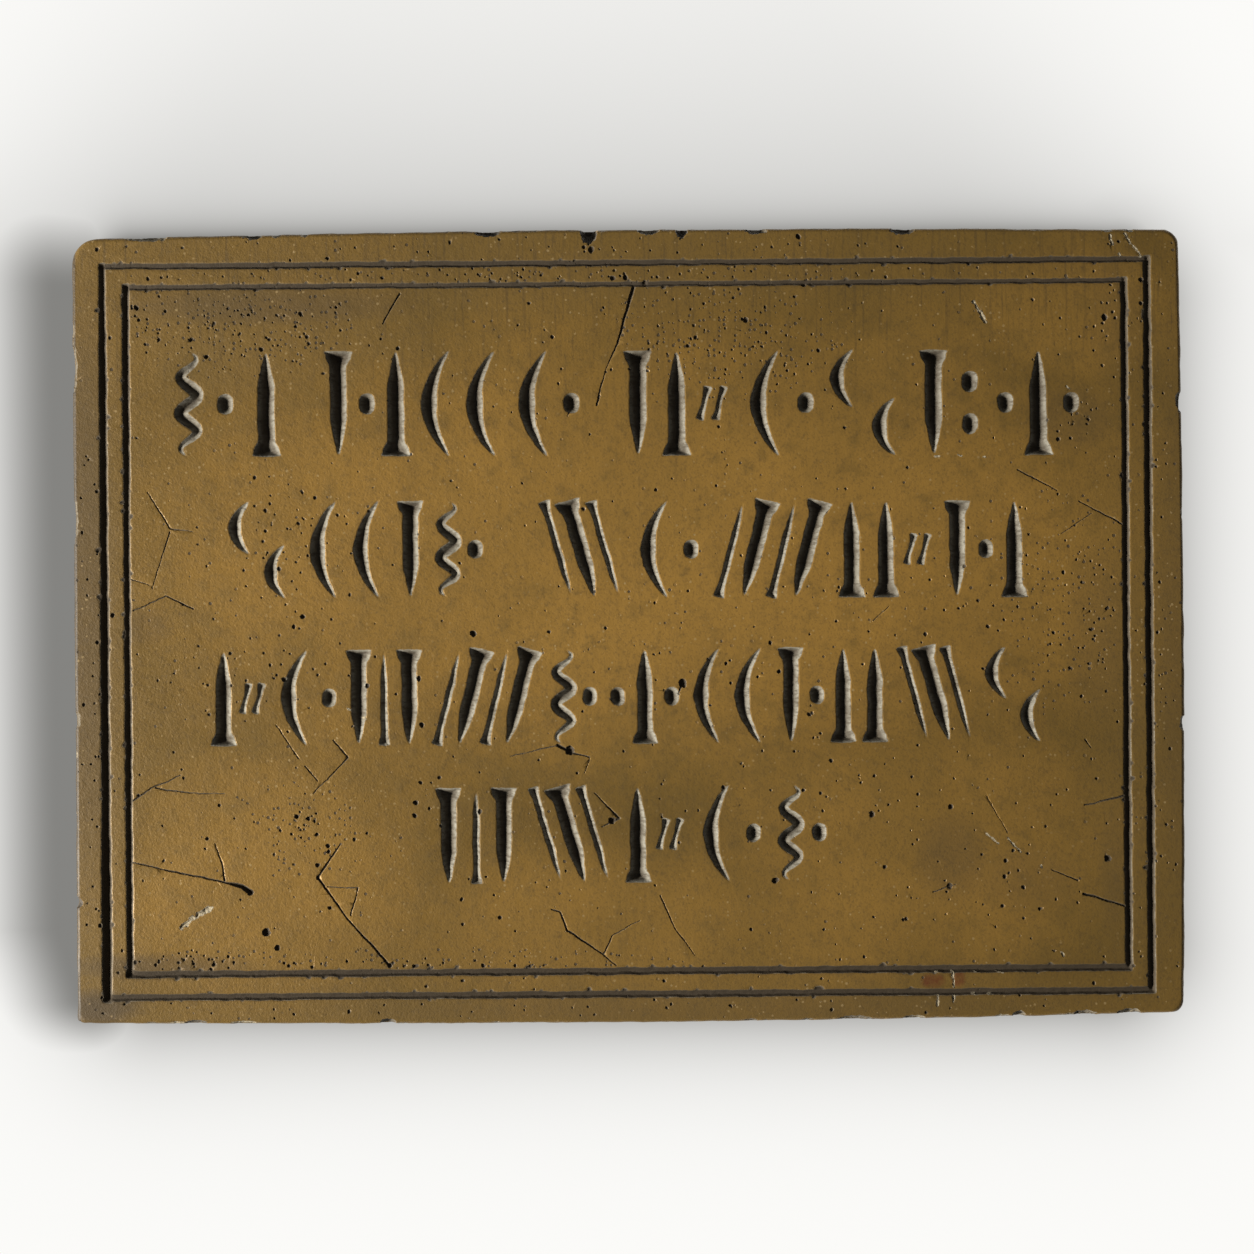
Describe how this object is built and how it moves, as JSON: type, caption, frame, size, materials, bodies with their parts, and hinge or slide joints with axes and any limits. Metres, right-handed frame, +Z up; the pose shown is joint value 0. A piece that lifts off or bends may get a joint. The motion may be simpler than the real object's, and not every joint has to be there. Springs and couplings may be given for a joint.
{
  "type": "wall plaque",
  "caption": "Rectangular bronzed cast stone wall plaque with incised border lines, rows of V-cut strokes, chipped edges and a flat back with a keyhole.",
  "frame": {"origin": "centre of the flat back face, which lies against the wall", "axes": "+X to the right and +Z up as the carved face is seen, +Y into the wall, so the carved face looks along -Y"},
  "size_m": [0.305, 0.02, 0.218],
  "materials": {
    "bronzed_cast_stone": "satin bronze paint over cast stone, with a dark patina in the cuts and pale stone in the chips"
  },
  "bodies": {
    "root": {"plaque": "bronzed_cast_stone"}
  },
  "joints": []
}
